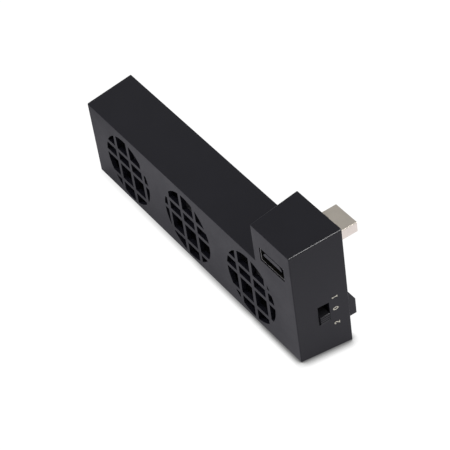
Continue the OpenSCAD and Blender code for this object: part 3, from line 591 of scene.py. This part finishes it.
METALS = {
    "shell_metal": dict(
        colour=(0.82, 0.755, 0.665),
        roughness=0.34,
        stretch=ALONG_Y,
        # painted shade inside the socket begins just behind its lip
        painted_shade_from_y=socket_lip_y + LIP_DEPTH,
    ),
    "switch_can": dict(colour=(0.70, 0.70, 0.71), roughness=0.32, stretch=ALONG_Z),
    "screw_steel": dict(
        colour=(0.50, 0.50, 0.52), roughness=0.30, stretch=(4, 4, 4), line_mm=0.3
    ),
    "yoke_steel": dict(colour=(0.46, 0.46, 0.47), roughness=0.30, stretch=ALONG_Y),
    "shaft_steel": dict(
        colour=(0.72, 0.72, 0.74), roughness=0.12, stretch=ALONG_Y, depth=0.001
    ),
    "core_steel": dict(
        colour=(0.36, 0.36, 0.37),
        roughness=0.42,
        stretch=(0.2, ACROSS, 0.2),
        line_mm=0.35,
        depth=0.03,
    ),
    "sleeve_bronze": dict(
        colour=(0.55, 0.36, 0.17), roughness=0.48, stretch=(8, 8, 8), line_mm=0.12, depth=0.01
    ),
    "contact_gold": dict(
        colour=(0.86, 0.62, 0.26), roughness=0.22, stretch=ALONG_Y, depth=0.002
    ),
    "coil_copper": dict(
        colour=(0.62, 0.25, 0.09),
        roughness=0.28,
        stretch=(0.3, ACROSS, 0.3),
        line_mm=0.09,
        depth=0.03,
    ),
}
for name, values in METALS.items():
    finishes[name] = sheet_metal(name, **values)
print("metals:", len(METALS))

# %% [markdown]
# ## Circuit boards
#
# A circuit board is glass cloth and resin under a green lacquer. The cloth shows faintly as a
# weave, and copper tracks stand out below the lacquer as a lighter green. Tracks could be drawn
# one by one, but the boards are only seen through narrow openings, so a brick pattern stands for
# them: its long rows with gaps look like straight runs.

# %% Mix the board's lacquer
BOARD_GREEN = (0.012, 0.085, 0.035, 1)
TRACK_GREEN = (0.035, 0.16, 0.06, 1)
TRACKS_PER_METRE = 260.0
TRACK_EDGE = 0.012
TRACK_BIAS = 0.35
THREADS_PER_METRE = 1200.0
WEAVE_UNEVEN = 0.6
WEAVE_STRENGTH = 0.15
WEAVE_DEPTH = 0.01 * MM
BOARD_GLOSSY = 0.24
BOARD_DULL = 0.32


def lacquered_board(name, green, track):
    material = new_material(name)
    place = add(material, "ShaderNodeTexCoord").outputs["Object"]
    bricks = {"Vector": place, "Color1": track, "Color2": green, "Mortar": green}
    bricks.update({"Scale": TRACKS_PER_METRE, "Mortar Size": TRACK_EDGE, "Bias": TRACK_BIAS})
    threads = {"Vector": place, "Scale": THREADS_PER_METRE, "Distortion": WEAVE_UNEVEN}
    weave = add(material, "ShaderNodeTexWave", threads, bands_direction="DIAGONAL").outputs["Fac"]
    relief = {"Height": weave, "Strength": WEAVE_STRENGTH, "Distance": WEAVE_DEPTH}
    sockets = {
        "Base Color": add(material, "ShaderNodeTexBrick", bricks).outputs["Color"],
        "Roughness": graded(material, weave, 0.0, 1.0, BOARD_GLOSSY, BOARD_DULL),
        "Normal": add(material, "ShaderNodeBump", relief).outputs["Normal"],
    }
    return give_surface(material, sockets)


finishes["circuit_board"] = lacquered_board("circuit_board", BOARD_GREEN, TRACK_GREEN)
print("tracks are about", round(MM_PER_METRE / TRACKS_PER_METRE, 1), "mm apart")

# %% [markdown]
# ## Wires
#
# The leads run from each fan and from the switch to the USB board, in soft insulation that is
# red, black or white. It is plastic too, only smoother and glossier than the housing, so the
# recipe for moulded plastic is used again with more shine.

# %% Mix the insulation of the wires
WIRES = {
    "red_insulation": dict(colour=(0.42, 0.015, 0.015), roughness=0.36),
    "black_insulation": dict(colour=(0.014, 0.014, 0.015), roughness=0.38),
    "pale_white": dict(colour=(0.62, 0.62, 0.59), roughness=0.38),
}
for name, values in WIRES.items():
    finishes[name] = moulded_plastic(name, grain_mm=0.3, grain_depth=0.01, specular=0.5, **values)
print("finishes mixed:", len(finishes))

# %% [markdown]
# ## Giving each piece its finish
#
# The record of the part says which finish each piece has. The pieces could be named one by one
# here as well, but then two lists would have to agree. The record is read instead.

# %% Put the finishes on the CAD pieces
subparts = frame["record"]["subparts"]
for part in subparts:
    for slot in nodes[part["node"]].material_slots:
        slot.material = finishes[part["material_slot"]]
print("finishes in use:", len({part["material_slot"] for part in subparts}))

# %% [markdown]
# ## Smooth shading of the rounded edges
#
# The rounded edges of the housing come from the CAD model as narrow flat strips, and the blades
# and wires as small flat faces. Each would show as a facet. More faces would hide that, but the
# meshes of the CAD model stay as they are, so modifiers do it. A modifier can run a tree of
# nodes that works on the mesh. These helpers begin such a tree by joining the strips where they
# touch, link its nodes in a row, and test whether a value is above a limit.

# %% Helpers for trees that work on meshes
JOIN_WITHIN = 0.001 * MM


def mesh_tree(name):
    """An empty node tree for meshes, and the two nodes that join the strips of a CAD piece."""
    tree = bpy.data.node_groups.new(name, "GeometryNodeTree")
    tree.interface.new_socket("Geometry", in_out="INPUT", socket_type="NodeSocketGeometry")
    tree.interface.new_socket("Geometry", in_out="OUTPUT", socket_type="NodeSocketGeometry")
    forget = tree.nodes.new("GeometryNodeRemoveAttribute")
    forget.inputs["Name"].default_value = "custom_normal"
    join = tree.nodes.new("GeometryNodeMergeByDistance")
    join.inputs["Distance"].default_value = JOIN_WITHIN
    return tree, [forget, join]


def run_through(tree, chain):
    """Links the nodes of a chain one after another, from the tree's input to its output."""
    chain = [tree.nodes.new("NodeGroupInput"), *chain, tree.nodes.new("NodeGroupOutput")]
    for before, after in zip(chain, chain[1:]):
        tree.links.new(before.outputs[0], after.inputs[0])


def above(tree, value, limit):
    test = tree.nodes.new("FunctionNodeCompare")
    test.operation = "GREATER_THAN"
    test.inputs[1].default_value = limit
    tree.links.new(value, test.inputs[0])
    return test.outputs[0]


print("points closer than", round(JOIN_WITHIN / MM, 4), "mm are joined")

# %% [markdown]
# The first tree shades the strips as one surface, except at edges that turn by more than a limit.
# Smooth shading alone would bend the light on the large flat faces as well, near their edges. The
# Weighted Normal modifier comes after the tree and lets the large faces keep their own direction.

# %% Shade the faceted pieces smoothly
SHARP_ABOVE = math.radians(28)
FACETED = [
    "front_housing",
    "rear_cover",
    "impeller_1",
    "impeller_2",
    "impeller_3",
    "red_leads",
    "black_leads",
    "switch_leads",
]


def smoothing_tree():
    tree, chain = mesh_tree("smooth_by_angle")
    faces = tree.nodes.new("GeometryNodeSetShadeSmooth")
    edges = tree.nodes.new("GeometryNodeSetShadeSmooth")
    edges.domain = "EDGE"
    edges.inputs["Shade Smooth"].default_value = False
    angle = tree.nodes.new("GeometryNodeInputMeshEdgeAngle").outputs["Unsigned Angle"]
    tree.links.new(above(tree, angle, SHARP_ABOVE), edges.inputs["Selection"])
    run_through(tree, [*chain, faces, edges])
    return tree


smooth_tree = smoothing_tree()


def shade_smoothly(piece):
    piece.modifiers.new("smooth_shading", "NODES").node_group = smooth_tree
    piece.modifiers.new("weighted_normals", "WEIGHTED_NORMAL").keep_sharp = True


for name in FACETED:
    shade_smoothly(nodes[name])
print("pieces shaded smoothly:", len(FACETED))

# %% [markdown]
# ## The rounded edge of the knob
#
# The knob's edges are square in the CAD model. The photograph shows a light line along the top
# edge of its face, so that one edge is rounded here. A bevel that picks edges by their angle
# would round every groove as well. A node tree finds the one edge by its place and gives it a
# weight instead, and the bevel follows the weight.

# %% Find the top edge of the knob's face
CLOSE = 0.02 * MM


def picking_tree(past_x, past_z):
    tree, chain = mesh_tree("pick_top_edge")
    place = tree.nodes.new("ShaderNodeSeparateXYZ")
    tree.links.new(tree.nodes.new("GeometryNodeInputPosition").outputs[0], place.inputs[0])
    at_edge = tree.nodes.new("FunctionNodeBooleanMath")
    at_edge.operation = "AND"
    tree.links.new(above(tree, place.outputs["X"], past_x), at_edge.inputs[0])
    tree.links.new(above(tree, place.outputs["Z"], past_z), at_edge.inputs[1])
    store = tree.nodes.new("GeometryNodeStoreNamedAttribute")
    store.data_type = "FLOAT"
    store.domain = "EDGE"
    store.inputs["Name"].default_value = "bevel_weight_edge"
    store.inputs["Value"].default_value = 1.0
    tree.links.new(at_edge.outputs[0], store.inputs["Selection"])
    run_through(tree, [*chain, store])
    return tree


knob = nodes["switch_knob"]
face_top = max(v.co.z for v in knob.data.vertices if v.co.x > knob_high.x - CLOSE)
print("top of the knob's face at", round(face_top / MM, 2), "mm")

# %% Round the edge that was found
KNOB_EDGE_RADIUS = 0.25 * MM
KNOB_EDGE_STEPS = 3

picker = knob.modifiers.new("pick_top_edge", "NODES")
picker.node_group = picking_tree(knob_high.x - CLOSE, face_top - CLOSE)
rounding = knob.modifiers.new("rounded_edge", "BEVEL")
rounding.width = KNOB_EDGE_RADIUS
rounding.segments = KNOB_EDGE_STEPS
rounding.limit_method = "WEIGHT"
shade_smoothly(knob)
print("modifiers on the knob:", len(knob.modifiers))

# %% [markdown]
# ## Printed numerals beside the switch
#
# Three pale marks stand beside the slide switch, one for each of its places, and read upwards.
# They are printed in a thin layer of ink. A text object would bring the shapes of a font with it,
# so each numeral is drawn as a pen stroke instead: a line of points that is widened to a ribbon
# as thick as the ink. Every point of the line gets four corners, two on each side of it, and
# faces join them to the next four. A flat ribbon could be extruded too, but an extrusion may
# write its faces in another order each time, and a script should give the same mesh each run.
# Where the line turns, the corners stand further out, so that the ribbon keeps its width, but
# never more than twice as far.

# %% Lay a pen stroke as a ribbon of ink
SAME_POINT = 1e-9
FURTHEST_OUT = 2


def ribbon(bm, points, width, thick):
    """Adds a strip of the given width along the points, which stands on the XY plane."""
    closed = (Vector(points[0]) - Vector(points[-1])).length < SAME_POINT
    pts = [Vector(p) for p in (points[:-1] if closed else points)]
    count = len(pts)
    up = Vector((0, 0, thick))
    sections = []
    for i, p in enumerate(pts):
        before = pts[i - 1] if (closed or i > 0) else p
        after = pts[(i + 1) % count] if (closed or i < count - 1) else p
        way_in = (p - before).normalized() if (p - before).length > 0 else (after - p).normalized()
        way_out = (after - p).normalized() if (after - p).length > 0 else way_in
        along = (way_in + way_out).normalized()
        across = Vector((-along.y, along.x))
        mitre = 1 / max(across.dot(Vector((-way_in.y, way_in.x))), 1 / FURTHEST_OUT)
        side = across * (width / 2 * mitre)
        left = (p + side).to_3d()
        right = (p - side).to_3d()
        sections.append([bm.verts.new(c) for c in (left, right, right + up, left + up)])
    for i in range(count if closed else count - 1):
        here = sections[i]
        there = sections[(i + 1) % count]
        for j in range(len(here)):
            k = (j + 1) % len(here)
            bm.faces.new((here[j], there[j], there[k], here[k]))
    if not closed:
        bm.faces.new(sections[0])
        bm.faces.new(sections[-1][::-1])


def arc_points(centre, radius, start, end, steps):
    turns = [math.radians(start + (end - start) * i / steps) for i in range(steps + 1)]
    return [
        (centre[0] + radius[0] * math.cos(a), centre[1] + radius[1] * math.sin(a)) for a in turns
    ]


print("points on a half turn in 4 steps:", len(arc_points((0, 0), (1, 1), 0, 180, 4)))

# %% [markdown]
# Each figure is drawn in a box that is one wide and one high, and scaled to its real size when it
# is printed. The stem of the 1 ends where its foot begins, so that no two faces of ink lie on
# each other.

# %% Draw the strokes of the three figures
PEN_WIDTH = 0.36 * MM
NUMERAL_HIGH = 2.1 * MM
NUMERAL_WIDE = 1.25 * MM
FOOT = 0.05
FOOT_TOP = FOOT + PEN_WIDTH / 2 / NUMERAL_HIGH
NUMERAL_STROKES = {
    "0": [arc_points((0.5, 0.5), (0.40, 0.44), 0, 360, 24)],
    "1": [[(0.22, 0.76), (0.54, 0.94), (0.54, FOOT_TOP)], [(0.24, FOOT), (0.84, FOOT)]],
    "2": [arc_points((0.5, 0.68), (0.36, 0.26), 170, -30, 12) + [(0.12, FOOT), (0.88, FOOT)]],
}
print("strokes:", sum(len(strokes) for strokes in NUMERAL_STROKES.values()))

# %% [markdown]
# The ink is a dull cream. The numerals lie on the end face, which leans with the draft, so each
# is placed by a turn that lays it on that face and lets it read upwards.

# %% Mix the ink and find its place on the end face
COLUMN_FROM_FRONT = 15.6 * MM

legend_ink = moulded_plastic(
    "legend_ink", (0.80, 0.76, 0.66), 0.55, grain_mm=0.15, grain_depth=0.006, cloud=0.06
)


def end_face_place(from_front, height):
    """A point on the drafted end face, and the turn that lays a drawing on it, reading upwards."""
    from_back = (back_y - body_low.y) - from_front
    point = Vector((right_x - from_back * math.tan(DRAFT), back_y - from_back, height))
    outward = Vector((math.cos(DRAFT), -math.sin(DRAFT), 0))
    reading = Vector((0, 0, 1))
    top = outward.cross(reading)
    return Matrix.Translation(point) @ Matrix((reading, top, outward)).transposed().to_4x4()


print("the numerals stand", round(COLUMN_FROM_FRONT / MM, 2), "mm behind the front")

# %% [markdown]
# Each figure becomes a piece of its own. It rides on the housing, so it stays in its place when
# the knob slides.

# %% Print the three numerals
INK_THICK = 0.02 * MM
BOX_MIDDLE = 0.5
LEGEND_HEIGHTS = {"2": 12.4 * MM, "0": 19.4 * MM, "1": 24.9 * MM}


def drawn_figure(figure):
    bm = bmesh.new()
    for stroke in NUMERAL_STROKES[figure]:
        placed = [
            ((x - BOX_MIDDLE) * NUMERAL_WIDE, (y - BOX_MIDDLE) * NUMERAL_HIGH) for x, y in stroke
        ]
        ribbon(bm, placed, PEN_WIDTH, INK_THICK)
    mesh = bpy.data.meshes.new("numeral_" + figure)
    bm.to_mesh(mesh)
    bm.free()
    return mesh


for figure, height in LEGEND_HEIGHTS.items():
    mesh = drawn_figure(figure)
    mesh.materials.append(legend_ink)
    numeral = bpy.data.objects.new("numeral_" + figure, mesh)
    bpy.context.collection.objects.link(numeral)
    numeral.matrix_world = end_face_place(COLUMN_FROM_FRONT, height)
    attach(numeral, "housing")
print("numerals:", len(LEGEND_HEIGHTS))
